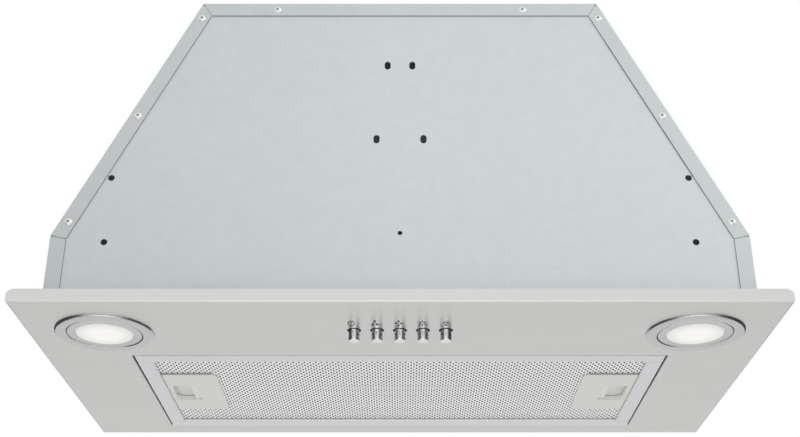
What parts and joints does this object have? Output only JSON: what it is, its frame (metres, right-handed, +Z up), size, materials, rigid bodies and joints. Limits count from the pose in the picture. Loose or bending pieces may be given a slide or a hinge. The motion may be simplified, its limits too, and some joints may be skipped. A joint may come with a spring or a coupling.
{
  "type": "undermount range hood",
  "caption": "Undermount range hood: tapered sheet-metal canopy on a brushed steel panel with lamps, push buttons, a drop-out grease filter and a duct collar with damper.",
  "frame": {"origin": "middle of the seating plane, where the panel's lip meets the cabinet", "axes": "+X to the right seen from the front, front faces -Y, +Z up"},
  "size_m": [0.525, 0.304, 0.2989],
  "materials": {
    "galvanised": "galvanised sheet, satin",
    "stainless": "brushed along the width",
    "zinc": "bright zinc plate",
    "flap_plastic": "moulded, fine grain",
    "rubber": "moulded",
    "lamp_silver": "satin silver",
    "lamp_glass": "frosted",
    "can_aluminium": "plain drawn",
    "board_white": "white coated board",
    "chrome": "polished",
    "black_plastic": "moulded",
    "motor_steel": "plated steel",
    "lead_sheath": "smooth sheath",
    "filter_aluminium": "bright rolled",
    "latch_plastic": "moulded, warm light grey"
  },
  "bodies": {
    "hood": {"canopy_wrap": "galvanised", "front_wall": "galvanised", "rear_wall": "galvanised", "rivets_front": "zinc", "rivets_rear": "zinc", "base_panel": "stainless", "base_studs": "zinc", "base_nuts": "zinc", "outlet_collar": "galvanised", "collar_screws": "zinc", "damper_pin": "zinc", "cable_gland": "rubber", "blower_shell_left": "flap_plastic", "blower_shell_right": "flap_plastic", "blower_screws": "zinc", "motor_can": "motor_steel", "motor_bracket": "zinc", "bracket_grommets": "rubber", "bracket_screws": "zinc", "capacitor": "can_aluminium", "capacitor_clip": "zinc", "terminal_box": "black_plastic", "terminal_cover": "black_plastic", "motor_lead": "lead_sheath", "switch_lead": "lead_sheath", "lamp_lead_left": "lead_sheath", "lamp_lead_right": "lead_sheath", "switch_housing": "black_plastic", "switch_contacts": "black_plastic", "switch_cover": "black_plastic", "lamp_bezel_left": "lamp_silver", "lamp_trim_left": "lamp_silver", "lamp_lens_left": "lamp_glass", "lamp_can_left": "can_aluminium", "lamp_board_left": "board_white", "lamp_clips_left": "zinc", "lamp_bezel_right": "lamp_silver", "lamp_trim_right": "lamp_silver", "lamp_lens_right": "lamp_glass", "lamp_can_right": "can_aluminium", "lamp_board_right": "board_white", "lamp_clips_right": "zinc"},
    "filter": {"filter_frame": "filter_aluminium", "filter_mesh_lower": "filter_aluminium", "filter_core": "filter_aluminium", "filter_mesh_upper": "filter_aluminium", "latch_housing_left": "latch_plastic", "latch_housing_right": "latch_plastic"},
    "latch_left": {"latch_slider_left": "latch_plastic"},
    "latch_right": {"latch_slider_right": "latch_plastic"},
    "fan": {"impeller": "flap_plastic", "motor_shaft": "motor_steel", "shaft_nut": "zinc"},
    "flap_left": {"damper_flap_left": "flap_plastic"},
    "flap_right": {"damper_flap_right": "flap_plastic"},
    "button_1": {"button_1": "chrome"},
    "button_2": {"button_2": "chrome"},
    "button_3": {"button_3": "chrome"},
    "button_4": {"button_4": "chrome"},
    "button_5": {"button_5": "chrome"}
  },
  "joints": [
    {"name": "filter_drop", "type": "slide", "parent": "hood", "child": "filter", "axis": [0, 0, -1], "range_m": [0, 0.012]},
    {"name": "latch_left_pull", "type": "slide", "parent": "filter", "child": "latch_left", "axis": [1, 0, 0], "range_m": [0, 0.006]},
    {"name": "latch_right_pull", "type": "slide", "parent": "filter", "child": "latch_right", "axis": [-1, 0, 0], "range_m": [0, 0.006]},
    {"name": "fan_spin", "type": "hinge", "parent": "hood", "child": "fan", "pos_m": [0, 0.046, 0.118], "axis": [1, 0, 0], "continuous": true},
    {"name": "flap_left_swing", "type": "hinge", "parent": "hood", "child": "flap_left", "pos_m": [0, 0, 0.2584], "axis": [0, 1, 0], "range_deg": [0, 70]},
    {"name": "flap_right_swing", "type": "hinge", "parent": "hood", "child": "flap_right", "pos_m": [0, 0, 0.2584], "axis": [0, -1, 0], "range_deg": [0, 70]},
    {"name": "button_1_press", "type": "slide", "parent": "hood", "child": "button_1", "axis": [0, 0, 1], "range_m": [0, 0.004], "stiffness_N_per_m": 250},
    {"name": "button_2_press", "type": "slide", "parent": "hood", "child": "button_2", "axis": [0, 0, 1], "range_m": [0, 0.004], "stiffness_N_per_m": 250},
    {"name": "button_3_press", "type": "slide", "parent": "hood", "child": "button_3", "axis": [0, 0, 1], "range_m": [0, 0.004], "stiffness_N_per_m": 250},
    {"name": "button_4_press", "type": "slide", "parent": "hood", "child": "button_4", "axis": [0, 0, 1], "range_m": [0, 0.004], "stiffness_N_per_m": 250},
    {"name": "button_5_press", "type": "slide", "parent": "hood", "child": "button_5", "axis": [0, 0, 1], "range_m": [0, 0.004], "stiffness_N_per_m": 250}
  ],
  "couplings": [
    {"joint": "latch_left_pull", "follows": "filter_drop", "ratio": 0.5},
    {"joint": "latch_right_pull", "follows": "filter_drop", "ratio": 0.5}
  ]
}
